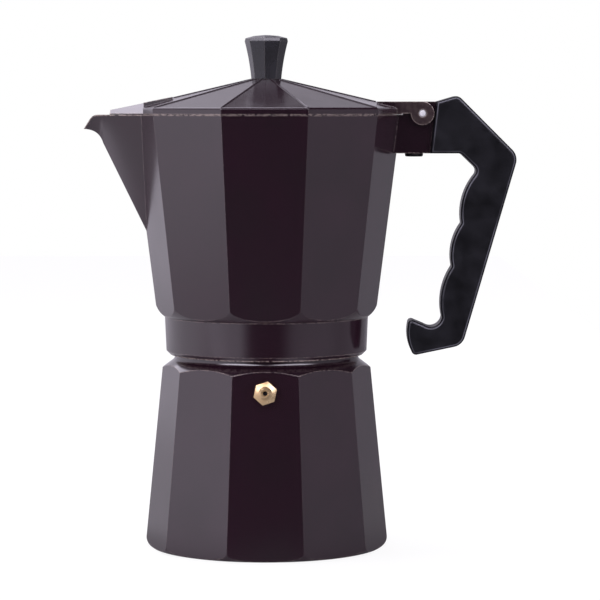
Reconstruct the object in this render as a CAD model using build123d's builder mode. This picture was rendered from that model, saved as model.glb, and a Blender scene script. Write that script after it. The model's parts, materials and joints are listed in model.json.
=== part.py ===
from build123d import *
import os
from math import atan, cos, pi, sin, sqrt

# Stovetop coffee maker: ten-sided boiler, collector and lid, with every inner piece
# Millimetres. Origin at the centre of the base, +Z up, +X to the handle, -Y to the valve

# Facets, with a corner at each end of the X axis
FACETS = 10
FACET_COS = cos(pi / FACETS)

# Boiler, with its corners placed from the neck
neck_r = 44.8
neck_wall = 4.0
neck_rise = 18.5
neck_root_r = 2.5
shoulder_z = 87.5
shoulder_out = 6.1
shoulder_rise = 0.75
base_out = 14.7
foot_round = 3.6
foot_turn_in = 0.4
boiler_floor = 4.0
boiler_wall = 3.4
bowl_r = 6.0
edge_break = 0.6
neck_bore_r = neck_r - neck_wall
neck_z = shoulder_z + neck_rise
base_corner_r = neck_r + base_out
shoulder_corner_r = neck_r + shoulder_out
shoulder_neck_z = shoulder_z + shoulder_rise * shoulder_out

# Stack between neck and collector
flange_t = 1.0
gasket_t = 4.0
gasket_w = 9.6
recess_in = 0.8
recess_gap = 0.4
plate_t = 0.8
plate_drop = 2.6
seat_z = neck_z + flange_t + gasket_t + plate_t
recess_r = neck_r - recess_in
seal_r = recess_r - recess_gap
gasket_bore_r = seal_r - gasket_w

# Funnel
basket_gap = 0.4
basket_wall = 0.9
basket_depth = 30.0
cone_h = 14.0
tube_r = 5.6
tube_bore_r = 4.7
tube_foot_gap = 5.0
strainer_ledge = 2.2
strainer_t = 0.8
strainer_gap = 0.2
strainer_hole_r = 1.0
plate_hole_r = 1.1
hole_pitch = 5.6
flange_edge = 0.6

# Collector, built out from the neck and up from the seal
thread_room = 1.3
skirt_wall = 2.85
skirt_flare = 0.7
skirt_gap = 2.1
skirt_chamfer = 1.9
skirt_lip = 0.7
turned_bulge_out = 2.5
turned_bulge_h = 2.3
turned_end_out = 4.95
turned_end_h = 7.2
facet_out = 3.7
rim_out = 12.35
collector_h = 98.9
collector_wall = 3.0
floor_t = 6.0
skirt_bore_r = neck_r + thread_room
skirt_low_r = skirt_bore_r + skirt_wall
skirt_top_r = skirt_low_r + skirt_flare
facet_low_r = skirt_top_r + facet_out
rim_corner_r = facet_low_r + rim_out
skirt_z = shoulder_neck_z + skirt_gap
facet_z = seat_z + skirt_lip
floor_z = seat_z + floor_t
rim_z = seat_z + collector_h

# Riser column
riser_spigot_r = 6.5
riser_root_r = 11.0
riser_mid_r = 8.4
riser_top_r = 7.2
riser_flare_h = 14.0
riser_h = 72.0
riser_bore_r = 4.4
port_w = 6.0
port_h = 5.0
throat_rise = 3.0

# Spout: stations along the keel as reach past the rim's corner, depth under the rim, half width
beak_stations = [(-7.7, 57.7, 18.9), (13.8, 13.7, 7.2)]
flare_stations = [(13.8, 13.7, 7.2), (16.5, 9.2, 5.8), (20.3, 7.3, 3.8), (23.8, 6.9, 2.1)]
spout_wall = 1.5
keel_half = 0.9
keel_rise = 0.7
lip_slope = 1.5
lip_r = 4.5
tip_out = 23.2
tip_drop = 6.9

# Lid
lid_gap = 0.1
lid_over = 0.2
band_h = 3.2
roof_h = 13.9
roof_round = 1.2
apex_corner_r = 7.0
lid_wall = 2.0
lid_apex_t = 2.4
cover_nose_out = 10.2
cover_nose_half = 5.0
cover_nose_h = 2.2
cover_ridge_rise = 0.207
cover_eave = 0.5
cover_root_in = 7.1
cover_root_half = 17.0
dormer_half = 9.0
dormer_length = 13.4
dormer_t = 2.5
lid_z = rim_z + lid_gap
band_z = lid_z + band_h
apex_z = band_z + roof_h

# Hinge
pin_out = 10.0
pin_rise = 0.6
pin_r = 1.85
pin_round = 1.0
pin_fit = 0.05
ear_r = 5.7
ear_t = 3.0
ear_gap = 0.25
arm_reach_in = 12.0
arm_under = 0.5
pin_x = rim_corner_r + pin_out
pin_z = lid_z + pin_rise

# Bracket, a hollow box cast on the collector
bracket_half = 5.0
bracket_wall = 1.9
bracket_drop = 19.4
bracket_floor = 2.8
bracket_end_out = 6.1
bracket_end_lean = 0.115
bracket_head_gap = 0.6
bracket_web_gap = 0.5
pocket_h = 11.0
pocket_in = 8.0
tongue_gap = 0.2
bracket_z = pin_z - bracket_drop
bracket_top_z = pin_z + ear_r

# Handle, placed from the top corner of its end face
handle_half = 8.0
handle_round = 1.6
handle_x = pin_x + bracket_end_out + bracket_end_lean * ear_r
handle_z = bracket_top_z

# Handle screw and its bush
handle_screw_in = 3.8
handle_screw_x = pin_x - handle_screw_in
handle_screw_r = 1.3
handle_head_r = 4.4
handle_head_h = 1.6
handle_screw_l = 10.0
handle_bush_r = 2.1
handle_bush_l = 8.0
screw_room = 0.2
bush_fit = 0.02

# Knob
KNOB_SIDES = 8
knob_turn = -4.5
knob_low_r = 7.3
knob_mid_r = 8.7
knob_rim_r = 10.55
knob_mid_h = 10.2
knob_rim_h = 18.4
knob_bevel_in = 0.4
knob_bevel_h = 1.5
knob_crown_r = 6.0
knob_crown_h = 1.1
knob_tip_r = 1.2
knob_tip_h = 0.4
knob_bush_r = 2.6
knob_bush_l = 9.0
knob_screw_r = 1.6
knob_screw_l = 7.5
knob_head_r = 4.0
knob_head_h = 2.3
knob_washer_r = 5.5
knob_washer_t = 0.8

# Safety valve, along the outward normal of the front facet
valve_drop = 8.0
hex_flats = 10.0
hex_turn = 18.0
hex_h = 4.2
hex_chamfer_slope = 0.58
valve_face_r = 4.5
valve_step_r = 3.2
valve_cone_h = 0.4
valve_step_h = 1.2
nozzle_r = 2.1
nozzle_h = 0.6
nozzle_bore_r = 1.1
nozzle_mouth_r = 1.6
nozzle_mouth_h = 0.5
washer_r = 4.9
washer_t = 0.8
shank_r = 4.0
shank_fit = 0.05
shank_l = 7.0
chamber_r = 2.7
chamber_end = 2.4
seat_l = 1.4
seat_bore_r = 1.2
disc_r = 2.3
disc_t = 0.8
stem_r = 0.8
stem_inset = 1.4
spring_r = 1.6
spring_wire_r = 0.25
spring_turns = 6
valve_z = shoulder_z - valve_drop

os.makedirs("parts", exist_ok=True)


def boiler_corner(height):
    """Corner radius of the boiler's facets at a height."""
    return base_corner_r + (shoulder_corner_r - base_corner_r) * height / shoulder_z


def collector_corner(height):
    """Corner radius of the collector's facets at a height."""
    return facet_low_r + (rim_corner_r - facet_low_r) * (height - facet_z) / (rim_z - facet_z)


def facet_section(corner_r, height, sides=FACETS, turn=0):
    """Regular outline at one height, used for lofts."""
    with BuildSketch(Plane.XY.offset(height)) as section:
        RegularPolygon(corner_r, sides, rotation=turn)
    return section.sketch


def hole_rings(pitch, reach):
    """Radius and count of each ring of holes that fits inside a reach."""
    return [(ring * pitch, 6 * ring) for ring in range(1, int(reach / pitch) + 1)]


# Boiler: rounded facets turned at the foot, the shoulder and the neck, hollowed by turning
shoulder_far_r = base_corner_r - foot_turn_in
shoulder_far_z = shoulder_z - shoulder_rise * (shoulder_far_r - shoulder_corner_r)
bowl_low_r = boiler_corner(boiler_floor) * FACET_COS - boiler_wall
bowl_top_r = shoulder_corner_r * FACET_COS - boiler_wall
bowl_top_z = shoulder_z - shoulder_rise * boiler_wall
bowl_neck_z = bowl_top_z + shoulder_rise * (bowl_top_r - neck_bore_r)

valve_tilt = atan((base_corner_r - shoulder_corner_r) * FACET_COS / shoulder_z)
valve_axis = (0, -cos(valve_tilt), sin(valve_tilt))
valve_plane = Plane(
    origin=(0, -boiler_corner(valve_z) * FACET_COS, valve_z), x_dir=(1, 0, 0), z_dir=valve_axis
)

with BuildPart() as boiler:
    loft([facet_section(base_corner_r, 0), facet_section(boiler_corner(neck_z), neck_z)], ruled=True)
    with BuildSketch(Plane.XZ):
        with BuildLine():
            FilletPolyline(
                (0, 0),
                (shoulder_far_r, 0),
                (shoulder_far_r, shoulder_far_z),
                (neck_r, shoulder_neck_z),
                (neck_r, neck_z),
                (0, neck_z),
                radius=(0, foot_round, 0, neck_root_r, edge_break, 0),
                close=True,
            )
        make_face()
    revolve(axis=Axis.Z, mode=Mode.INTERSECT)
    with BuildSketch(Plane.XZ):
        with BuildLine():
            FilletPolyline(
                (0, boiler_floor),
                (bowl_low_r, boiler_floor),
                (bowl_top_r, bowl_top_z),
                (neck_bore_r, bowl_neck_z),
                (neck_bore_r, neck_z),
                (0, neck_z),
                radius=(0, bowl_r, neck_root_r, neck_root_r, 0, 0),
                close=True,
            )
        make_face()
    revolve(axis=Axis.Z, mode=Mode.SUBTRACT)
    with BuildSketch(valve_plane):
        Circle(shank_r + shank_fit)
    extrude(amount=-shank_l, mode=Mode.SUBTRACT)
boiler.part.label = "boiler"
export_step(boiler.part, "parts/boiler.step")


# Safety valve: hexagon, nozzle and shank in one brass turning
hex_corner_r = hex_flats / sqrt(3)
cone_z = washer_t + hex_h + valve_cone_h
step_z = cone_z + valve_step_h
nozzle_z = step_z + nozzle_h
seat_end = -shank_l + seat_l
disc_end = seat_end + disc_t

with BuildPart(valve_plane) as valve_body:
    with BuildSketch(valve_plane.offset(washer_t)):
        RegularPolygon(hex_corner_r, 6, rotation=hex_turn)
    extrude(amount=hex_h)
    with Locations((0, 0, washer_t)):
        Cone(
            valve_face_r + hex_h / hex_chamfer_slope, valve_face_r, hex_h,
            align=(Align.CENTER, Align.CENTER, Align.MIN), mode=Mode.INTERSECT,
        )
    with Locations((0, 0, washer_t + hex_h)):
        Cone(
            valve_face_r, valve_step_r, valve_cone_h,
            align=(Align.CENTER, Align.CENTER, Align.MIN),
        )
    with Locations((0, 0, cone_z)):
        Cone(valve_step_r, nozzle_r, valve_step_h, align=(Align.CENTER, Align.CENTER, Align.MIN))
    with Locations((0, 0, step_z)):
        Cylinder(nozzle_r, nozzle_h, align=(Align.CENTER, Align.CENTER, Align.MIN))
    with Locations((0, 0, washer_t)):
        Cylinder(shank_r, washer_t + shank_l, align=(Align.CENTER, Align.CENTER, Align.MAX))
    with Locations((0, 0, -shank_l)):
        Cylinder(
            chamber_r, shank_l + chamber_end,
            align=(Align.CENTER, Align.CENTER, Align.MIN), mode=Mode.SUBTRACT,
        )
        Cylinder(
            nozzle_bore_r, shank_l + nozzle_z,
            align=(Align.CENTER, Align.CENTER, Align.MIN), mode=Mode.SUBTRACT,
        )
    with Locations((0, 0, nozzle_z)):
        Cone(
            nozzle_bore_r, nozzle_mouth_r, nozzle_mouth_h,
            align=(Align.CENTER, Align.CENTER, Align.MAX), mode=Mode.SUBTRACT,
        )
valve_body.part.label = "valve_body"
export_step(valve_body.part, "parts/valve_body.step")

with BuildPart() as valve_washer:
    with BuildSketch(valve_plane):
        Circle(washer_r)
        Circle(shank_r + shank_fit, mode=Mode.SUBTRACT)
    extrude(amount=washer_t)
valve_washer.part.label = "valve_washer"
export_step(valve_washer.part, "parts/valve_washer.step")

with BuildPart() as valve_seat:
    with BuildSketch(valve_plane.offset(-shank_l)):
        Circle(chamber_r - bush_fit)
        Circle(seat_bore_r, mode=Mode.SUBTRACT)
    extrude(amount=seat_l)
valve_seat.part.label = "valve_seat"
export_step(valve_seat.part, "parts/valve_seat.step")

with BuildPart() as valve_plunger:
    with BuildSketch(valve_plane.offset(seat_end)):
        Circle(disc_r)
    extrude(amount=disc_t)
    with BuildSketch(valve_plane.offset(disc_end)):
        Circle(stem_r)
    extrude(amount=nozzle_z - stem_inset - disc_end)
valve_plunger.part.label = "valve_plunger"
export_step(valve_plunger.part, "parts/valve_plunger.step")

spring_low = disc_end + spring_wire_r
spring_rise = chamber_end - disc_end - 2 * spring_wire_r


def spring_point(turns):
    """Point of the spring's centre line after some turns."""
    angle = 2 * pi * turns
    return (spring_r * cos(angle), spring_r * sin(angle), spring_low + spring_rise * turns / spring_turns)


with BuildPart() as valve_spring:
    with BuildLine(valve_plane) as spring_path:
        for quarter in range(4 * spring_turns):
            start = quarter / 4
            ThreePointArc(spring_point(start), spring_point(start + 1 / 8), spring_point(start + 1 / 4))
    with BuildSketch(Plane(origin=spring_path.line @ 0, z_dir=spring_path.line % 0)):
        Circle(spring_wire_r)
    sweep(path=spring_path.line)
valve_spring.part.label = "valve_spring"
export_step(valve_spring.part, "parts/valve_spring.step")


# Funnel: basket, cone and tube turned in one thin shell, hung by its flange
basket_r = neck_bore_r - basket_gap
basket_in_r = basket_r - basket_wall
basket_z = neck_z - basket_depth
ledge_z = basket_z + 2 * basket_wall
flange_z = neck_z + flange_t
tube_z = boiler_floor + tube_foot_gap

with BuildPart() as funnel:
    with BuildSketch(Plane.XZ):
        with BuildLine():
            Polyline(
                (tube_bore_r, tube_z),
                (tube_r, tube_z),
                (tube_r, basket_z - cone_h),
                (basket_r, basket_z),
                (basket_r, neck_z),
                (neck_r - flange_edge, neck_z),
                (neck_r - flange_edge, flange_z),
                (basket_in_r, flange_z),
                (basket_in_r, ledge_z),
                (basket_in_r - strainer_ledge, ledge_z),
                (tube_bore_r, ledge_z - cone_h),
                close=True,
            )
        make_face()
    revolve(axis=Axis.Z)
funnel.part.label = "funnel"
export_step(funnel.part, "parts/funnel.step")

strainer_r = basket_in_r - strainer_gap
with BuildPart() as funnel_strainer:
    with BuildSketch(Plane.XY.offset(ledge_z)):
        Circle(strainer_r)
        Circle(strainer_hole_r, mode=Mode.SUBTRACT)
        for ring_r, count in hole_rings(2 * hole_pitch, strainer_r - strainer_ledge - hole_pitch):
            with PolarLocations(ring_r, count):
                Circle(strainer_hole_r, mode=Mode.SUBTRACT)
    extrude(amount=strainer_t)
funnel_strainer.part.label = "funnel_strainer"
export_step(funnel_strainer.part, "parts/funnel_strainer.step")


# Seal: rubber ring, with the dished filter plate clamped above it
gasket_z = flange_z
plate_z = gasket_z + gasket_t
with BuildPart() as gasket:
    with BuildSketch(Plane.XY.offset(gasket_z)):
        Circle(seal_r)
        Circle(gasket_bore_r, mode=Mode.SUBTRACT)
    extrude(amount=gasket_t)
    chamfer(gasket.edges().filter_by(GeomType.CIRCLE), length=edge_break / 2)
gasket.part.label = "gasket"
export_step(gasket.part, "parts/gasket.step")

dish_r = gasket_bore_r - plate_t
with BuildPart() as filter_plate:
    with BuildSketch(Plane.XZ):
        with BuildLine():
            Polyline(
                (0, plate_z - plate_drop),
                (dish_r, plate_z - plate_drop),
                (dish_r, plate_z),
                (seal_r, plate_z),
                (seal_r, plate_z + plate_t),
                (dish_r - plate_t, plate_z + plate_t),
                (dish_r - plate_t, plate_z - plate_drop + plate_t),
                (0, plate_z - plate_drop + plate_t),
                close=True,
            )
        make_face()
    revolve(axis=Axis.Z)
    with BuildSketch(Plane.XY.offset(plate_z - plate_drop)):
        Circle(plate_hole_r)
        for ring_r, count in hole_rings(2 * hole_pitch, dish_r - hole_pitch):
            with PolarLocations(ring_r, count):
                Circle(plate_hole_r)
    extrude(amount=plate_t, mode=Mode.SUBTRACT)
filter_plate.part.label = "filter_plate"
export_step(filter_plate.part, "parts/filter_plate.step")


# Collector: flared facets on a turned skirt, with the beak spout and the handle's bracket
def beak_section(reach, drop, half, wall):
    """Upright section of the beak at one station, narrowed by a wall for the channel."""
    inner_half = half - wall
    keel_z = rim_z - drop + wall * drop / half
    with BuildSketch(Plane.YZ.offset(-rim_corner_r - reach)) as section:
        with BuildLine():
            Line((-inner_half, rim_z), (inner_half, rim_z))
            Line((inner_half, rim_z), (keel_half * inner_half / half, keel_z + keel_rise))
            ThreePointArc(
                (keel_half * inner_half / half, keel_z + keel_rise),
                (0, keel_z),
                (-keel_half * inner_half / half, keel_z + keel_rise),
            )
            Line((-keel_half * inner_half / half, keel_z + keel_rise), (-inner_half, rim_z))
        make_face()
    return section.sketch


recess_z = gasket_z + flange_edge
throat_r = gasket_bore_r - 2 * plate_t
wall_out = collector_wall / FACET_COS
tip_x = -rim_corner_r - tip_out
tip_z = rim_z - tip_drop
lip_corner_x = tip_x + tip_drop / lip_slope
head_r = pin_out - bracket_head_gap
head_top_x = pin_x - sqrt(head_r**2 - ear_r**2)
head_low_x = pin_x - sqrt(head_r**2 - (pin_z - rim_z) ** 2)
end_low_x = handle_x - bracket_end_lean * (bracket_top_z - bracket_z)
pocket_z = bracket_z + bracket_floor
pocket_half = bracket_half - bracket_wall
pocket_x = pin_x - pocket_in

with BuildPart() as collector:
    loft([facet_section(facet_low_r, facet_z), facet_section(rim_corner_r, rim_z)], ruled=True)
    with BuildSketch(Plane.XZ):
        with BuildLine():
            ThreePointArc(
                (skirt_top_r, facet_z),
                (skirt_top_r + turned_bulge_out, facet_z + turned_bulge_h),
                (skirt_top_r + turned_end_out, facet_z + turned_end_h),
            )
            Polyline(
                (skirt_top_r + turned_end_out, facet_z + turned_end_h),
                (2 * rim_corner_r, facet_z + turned_end_h),
                (2 * rim_corner_r, rim_z),
                (0, rim_z),
                (0, facet_z),
                (skirt_top_r, facet_z),
            )
        make_face()
    revolve(axis=Axis.Z, mode=Mode.INTERSECT)
    loft([beak_section(*station, 0) for station in beak_stations], ruled=True)
    loft([beak_section(*station, 0) for station in flare_stations])
    with BuildSketch(Plane.XZ):
        with BuildLine():
            Polyline(
                (head_low_x, rim_z),
                (rim_corner_r - collector_wall, rim_z),
                (collector_corner(bracket_z) - collector_wall, bracket_z),
                (end_low_x, bracket_z),
                (handle_x, bracket_top_z),
                (head_top_x, bracket_top_z),
            )
            RadiusArc((head_top_x, bracket_top_z), (head_low_x, rim_z), -head_r)
        make_face()
    extrude(amount=bracket_half, both=True)
    with BuildSketch(Plane.XZ):
        with BuildLine():
            FilletPolyline(
                (tip_x - tip_drop, tip_z - lip_slope * tip_drop),
                (lip_corner_x, rim_z),
                (-rim_corner_r + wall_out, rim_z),
                (-rim_corner_r + wall_out, rim_z + tip_drop),
                (tip_x - tip_out, rim_z + tip_drop),
                (tip_x - tip_out, tip_z - lip_slope * tip_drop),
                radius=(0, lip_r, 0, 0, 0, 0),
                close=True,
            )
        make_face()
    extrude(amount=2 * beak_stations[0][2], both=True, mode=Mode.SUBTRACT)
    with BuildSketch(Plane.XZ):
        with BuildLine():
            Polyline(
                (skirt_bore_r, skirt_z),
                (skirt_low_r - skirt_chamfer, skirt_z),
                (skirt_low_r, skirt_z + skirt_chamfer),
                (skirt_top_r, facet_z),
                (0, facet_z),
                (0, seat_z),
                (recess_r, seat_z),
                (recess_r, recess_z),
                (skirt_bore_r, recess_z),
                close=True,
            )
        make_face()
    revolve(axis=Axis.Z)
    loft(
        [
            facet_section(collector_corner(floor_z) - wall_out, floor_z),
            facet_section(rim_corner_r - wall_out, rim_z),
        ],
        ruled=True,
        mode=Mode.SUBTRACT,
    )
    loft(
        [beak_section(*station, spout_wall) for station in beak_stations],
        ruled=True,
        mode=Mode.SUBTRACT,
    )
    loft([beak_section(*station, spout_wall) for station in flare_stations], mode=Mode.SUBTRACT)
    with BuildSketch(Plane.XZ):
        with BuildLine():
            Polyline(
                (0, seat_z),
                (throat_r, seat_z),
                (riser_spigot_r, seat_z + throat_rise),
                (riser_spigot_r, floor_z),
                (0, floor_z),
                close=True,
            )
        make_face()
    revolve(axis=Axis.Z, mode=Mode.SUBTRACT)
    with BuildSketch(Plane.XZ.offset(-pocket_half)):
        with BuildLine():
            Polyline(
                (pocket_x, pocket_z),
                (handle_x + pin_out, pocket_z),
                (handle_x + pin_out, pocket_z + pocket_h),
                (pocket_x, pocket_z + pocket_h),
                close=True,
            )
        make_face()
    extrude(amount=2 * pocket_half, mode=Mode.SUBTRACT)
    with BuildSketch(Plane.XZ):
        with Locations((pin_x, pin_z)):
            Circle(pin_r + bush_fit)
    extrude(amount=bracket_half, both=True, mode=Mode.SUBTRACT)
    with BuildSketch(Plane.XY.offset(bracket_z)):
        with Locations((handle_screw_x, 0)):
            Circle(handle_screw_r + screw_room)
    extrude(amount=bracket_floor, mode=Mode.SUBTRACT)
collector.part.label = "collector"
export_step(collector.part, "parts/collector.step")


# Riser column, pressed into the collector's floor, closed on top with two side ports
spigot_z = seat_z + throat_rise
riser_top_z = floor_z + riser_h
with BuildPart() as riser_column:
    with BuildSketch(Plane.XZ):
        with BuildLine():
            FilletPolyline(
                (0, spigot_z),
                (riser_spigot_r - bush_fit, spigot_z),
                (riser_spigot_r - bush_fit, floor_z),
                (riser_root_r, floor_z),
                (riser_mid_r, floor_z + riser_flare_h),
                (riser_top_r, riser_top_z),
                (0, riser_top_z),
                radius=(0, 0, 0, 0, riser_flare_h, riser_top_r / 2, 0),
                close=True,
            )
        make_face()
    revolve(axis=Axis.Z)
    with BuildSketch(Plane.XY.offset(spigot_z)):
        Circle(riser_bore_r)
    extrude(amount=riser_top_z - riser_bore_r - spigot_z, mode=Mode.SUBTRACT)
    with BuildSketch(Plane.XZ):
        with Locations((0, riser_top_z - riser_bore_r - port_h)):
            SlotOverall(port_w, port_h)
    extrude(amount=riser_root_r, both=True, mode=Mode.SUBTRACT)
riser_column.part.label = "riser_column"
export_step(riser_column.part, "parts/riser_column.step")


# Handle: outline from the top corner of its end face, then a tongue in the bracket's pocket
handle_points = {
    "brow": (10.5, 3.1),
    "back_top": (39.8, -26.2),
    "back_foot": (13.1, -118.4),
    "toe": (-10.7, -123.4),
    "toe_bow": (-13.9, -113.2),
    "hook_tip": (-12.9, -105.4),
    "hook_top": (-5.6, -108.4),
    "hook_low": (-0.2, -108.9),
    "hook_end": (3.0, -104.7),
    "finger_3": (2.7, -92.7),
    "cusp_2": (7.75, -80.0),
    "finger_2": (7.8, -69.0),
    "cusp_1": (12.3, -59.0),
    "finger_1": (13.2, -45.7),
    "crook": (20.5, -33.4),
    "throat": (11.9, bracket_z - bracket_top_z),
}
handle_rounds = {
    "brow": 4.0,
    "back_top": 7.0,
    "back_foot": 7.0,
    "toe": 2.2,
    "hook_tip": 1.8,
    "cusp_1": 1.0,
    "cusp_2": 1.0,
    "crook": 3.0,
    "throat": 3.0,
}
grip = {name: (handle_x + dx, handle_z + dz) for name, (dx, dz) in handle_points.items()}
tongue_x = pocket_x + tongue_gap
tongue_half = pocket_half - tongue_gap

with BuildPart() as handle:
    with BuildSketch(Plane.XZ) as handle_outline:
        with BuildLine():
            Polyline(
                grip["throat"],
                (end_low_x, bracket_z),
                (handle_x, handle_z),
                grip["brow"],
                grip["back_top"],
                grip["back_foot"],
                grip["toe"],
            )
            ThreePointArc(grip["toe"], grip["toe_bow"], grip["hook_tip"])
            Line(grip["hook_tip"], grip["hook_top"])
            ThreePointArc(grip["hook_top"], grip["hook_low"], grip["hook_end"])
            ThreePointArc(grip["hook_end"], grip["finger_3"], grip["cusp_2"])
            ThreePointArc(grip["cusp_2"], grip["finger_2"], grip["cusp_1"])
            ThreePointArc(grip["cusp_1"], grip["finger_1"], grip["crook"])
            Line(grip["crook"], grip["throat"])
        make_face()
        for name, radius in handle_rounds.items():
            fillet(handle_outline.vertices().sort_by_distance(grip[name])[0], radius=radius)
    extrude(amount=handle_half, both=True)
    fillet(handle.faces().filter_by(Axis.Y).edges(), radius=handle_round)
    with BuildSketch(Plane.XZ.offset(-tongue_half)):
        with BuildLine():
            Polyline(
                (tongue_x, pocket_z),
                (handle_x, pocket_z),
                (handle_x, pocket_z + pocket_h - tongue_gap),
                (tongue_x, pocket_z + pocket_h - tongue_gap),
                close=True,
            )
        make_face()
    extrude(amount=2 * tongue_half)
    with BuildSketch(Plane.XY.offset(pocket_z)):
        with Locations((handle_screw_x, 0)):
            Circle(handle_bush_r + bush_fit)
    extrude(amount=handle_bush_l, mode=Mode.SUBTRACT)
handle.part.label = "handle"
export_step(handle.part, "parts/handle.step")

with BuildPart() as handle_insert:
    with BuildSketch(Plane.XY.offset(pocket_z)):
        with Locations((handle_screw_x, 0)):
            Circle(handle_bush_r)
            Circle(handle_screw_r + bush_fit, mode=Mode.SUBTRACT)
    extrude(amount=handle_bush_l)
handle_insert.part.label = "handle_insert"
export_step(handle_insert.part, "parts/handle_insert.step")

with BuildPart() as handle_screw:
    with BuildSketch(Plane.XY.offset(bracket_z)):
        with Locations((handle_screw_x, 0)):
            Circle(handle_screw_r)
    extrude(amount=handle_screw_l)
    with BuildSketch(Plane.XY.offset(bracket_z)):
        with Locations((handle_screw_x, 0)):
            Circle(handle_head_r)
    extrude(amount=-handle_head_h)
    fillet(handle_screw.edges().group_by(Axis.Z)[0], radius=handle_head_h / 2)
handle_screw.part.label = "handle_screw"
export_step(handle_screw.part, "parts/handle_screw.step")


# Lid: low pyramid with the spout's gabled cover in front and the hinge arm behind
lid_corner_r = rim_corner_r + lid_over
lid_in_r = lid_corner_r - lid_wall / FACET_COS
lid_in_z = band_z - lid_wall
ceiling_z = apex_z - lid_apex_t
nose_x = -rim_corner_r - cover_nose_out
root_x = -lid_corner_r + cover_root_in
dormer_x = root_x + dormer_length
arm_half = bracket_half + ear_gap + ear_t
arm_end_x = pin_x - head_r - bracket_web_gap
arm_top_z = pin_z + ear_r


def cover_ridge(x):
    """Height of the cover's ridge above the lid's rim."""
    return cover_nose_h + cover_ridge_rise * (x - nose_x)


def cover_section(x, wall):
    """Upright gable of the cover at one place, kept under the outer one by a wall."""
    spread = (cover_root_half - cover_nose_half) * (x - nose_x) / (root_x - nose_x)
    roof_rise = cover_ridge(x) - cover_eave
    half = (cover_nose_half + spread) * (roof_rise - wall) / roof_rise
    with BuildSketch(Plane.YZ.offset(x)) as section:
        with BuildLine():
            Polyline(
                (0, lid_z + cover_ridge(x) - wall),
                (half, lid_z + cover_eave),
                (half, lid_z),
                (-half, lid_z),
                (-half, lid_z + cover_eave),
                close=True,
            )
        make_face()
    return section.sketch


def dormer_section(x, half):
    """Upright section of the raised deck behind the cover, flat under the ridge."""
    with BuildSketch(Plane.YZ.offset(x)) as section:
        with Locations((0, lid_z + cover_ridge(x))):
            Rectangle(2 * half, dormer_t, align=(Align.CENTER, Align.MAX))
    return section.sketch


with BuildPart() as lid:
    loft([facet_section(lid_corner_r, lid_z), facet_section(lid_corner_r, band_z)], ruled=True)
    loft([facet_section(lid_corner_r, band_z), facet_section(apex_corner_r, apex_z)], ruled=True)
    fillet(lid.edges().group_by(Axis.Z)[2] + lid.edges().group_by(Axis.Z)[3], radius=roof_round)
    with Locations((root_x, 0, lid_z)):
        Box(
            cover_nose_out, 2 * rim_corner_r, band_h + roof_h,
            align=(Align.MAX, Align.CENTER, Align.MIN), mode=Mode.SUBTRACT,
        )
    loft([cover_section(nose_x, 0), cover_section(root_x, 0)], ruled=True)
    loft([dormer_section(root_x, cover_root_half), dormer_section(dormer_x, dormer_half)], ruled=True)
    with BuildSketch(Plane.XZ):
        with BuildLine():
            Polyline(
                (rim_corner_r - arm_reach_in, lid_z),
                (arm_end_x, lid_z),
                (arm_end_x, arm_top_z),
                (rim_corner_r - arm_reach_in, arm_top_z),
                close=True,
            )
        make_face()
    extrude(amount=arm_half, both=True)
    for side in (-1, 1):
        with BuildSketch(Plane.XZ.offset(side * (arm_half - ear_t / 2))):
            with BuildLine():
                Polyline(
                    (arm_end_x - ear_t, lid_z + arm_under),
                    (pin_x, lid_z + arm_under),
                    (pin_x, arm_top_z),
                    (arm_end_x - ear_t, arm_top_z),
                    close=True,
                )
            make_face()
            with Locations((pin_x, pin_z)):
                Circle(ear_r)
        extrude(amount=ear_t / 2, both=True)
    loft(
        [facet_section(lid_in_r, lid_z), facet_section(lid_in_r, lid_in_z)],
        ruled=True,
        mode=Mode.SUBTRACT,
    )
    loft(
        [facet_section(lid_in_r, lid_in_z), facet_section(apex_corner_r, ceiling_z)],
        ruled=True,
        mode=Mode.SUBTRACT,
    )
    loft(
        [cover_section(nose_x + lid_wall, lid_wall), cover_section(root_x + lid_wall, lid_wall)],
        ruled=True,
        mode=Mode.SUBTRACT,
    )
    with BuildSketch(Plane.XZ):
        with Locations((pin_x, pin_z)):
            Circle(pin_r + pin_fit)
    extrude(amount=arm_half, both=True, mode=Mode.SUBTRACT)
    with BuildSketch(Plane.XY.offset(ceiling_z)):
        Circle(knob_screw_r + screw_room)
    extrude(amount=lid_apex_t, mode=Mode.SUBTRACT)
lid.part.label = "lid"
export_step(lid.part, "parts/lid.step")

with BuildPart() as hinge_pin:
    with BuildSketch(Plane.XZ):
        with Locations((pin_x, pin_z)):
            Circle(pin_r)
    extrude(amount=arm_half, both=True)
    fillet(hinge_pin.edges().filter_by(GeomType.CIRCLE), radius=pin_round)
hinge_pin.part.label = "hinge_pin"
export_step(hinge_pin.part, "parts/hinge_pin.step")


# Knob: eight flared sides under a low crown, held by a screw through the lid
knob_rim_z = apex_z + knob_rim_h
knob_bevel_z = knob_rim_z + knob_bevel_h
knob_crown_z = knob_bevel_z + knob_crown_h
with BuildPart() as knob:
    loft(
        [
            facet_section(knob_low_r, apex_z, KNOB_SIDES, knob_turn),
            facet_section(knob_mid_r, apex_z + knob_mid_h, KNOB_SIDES, knob_turn),
            facet_section(knob_rim_r, knob_rim_z, KNOB_SIDES, knob_turn),
        ]
    )
    loft(
        [
            facet_section(knob_rim_r, knob_rim_z, KNOB_SIDES, knob_turn),
            facet_section(knob_rim_r - knob_bevel_in, knob_bevel_z, KNOB_SIDES, knob_turn),
            facet_section(knob_crown_r, knob_crown_z, KNOB_SIDES, knob_turn),
            facet_section(knob_tip_r, knob_crown_z + knob_tip_h, KNOB_SIDES, knob_turn),
        ],
        ruled=True,
    )
    with BuildSketch(Plane.XY.offset(apex_z)):
        Circle(knob_bush_r + bush_fit)
    extrude(amount=knob_bush_l, mode=Mode.SUBTRACT)
knob.part.label = "knob"
export_step(knob.part, "parts/knob.step")

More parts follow.
